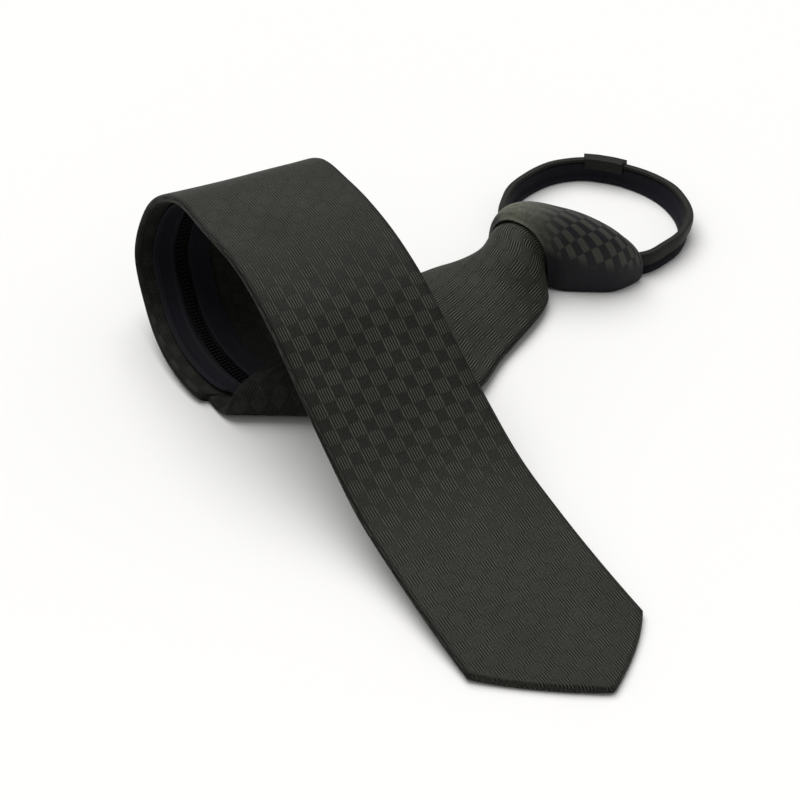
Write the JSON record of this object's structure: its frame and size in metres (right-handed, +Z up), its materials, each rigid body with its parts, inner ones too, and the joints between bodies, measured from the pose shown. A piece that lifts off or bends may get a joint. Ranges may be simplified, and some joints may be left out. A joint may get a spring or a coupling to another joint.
{
  "type": "zipper tie",
  "caption": "Slim ready-knotted zipper tie with a closed neck band, lying in one loose roll with its pointed blade in front.",
  "frame": {"origin": "under the middle of the part's bounding box, on the surface that it lies on", "axes": "+Z up, +X to the viewer's right, +Y away from the viewer, from the tip to the neck loop"},
  "size_m": [0.1614, 0.2316, 0.0496],
  "materials": {
    "cloth": "satin weave, very dark greenish black, in small square cells of ribbed and plain weave",
    "zipper_tape": "matte woven tape, navy black",
    "zipper_teeth": "semi-matt moulded coil",
    "former": "plain, hidden"
  },
  "bodies": {
    "root": {"blade": "cloth", "knot_wrap": "cloth", "knot_core": "former", "band_cover_left": "cloth", "band_tape_left": "zipper_tape", "band_teeth_left": "zipper_teeth", "band_cover_right": "cloth", "band_tape_right": "zipper_tape", "band_teeth_right": "zipper_teeth", "keeper": "cloth", "tail_tape_left": "zipper_tape", "tail_tape_right": "zipper_tape", "tail_teeth": "zipper_teeth", "tail_end": "cloth", "slider": "former"}
  },
  "joints": []
}
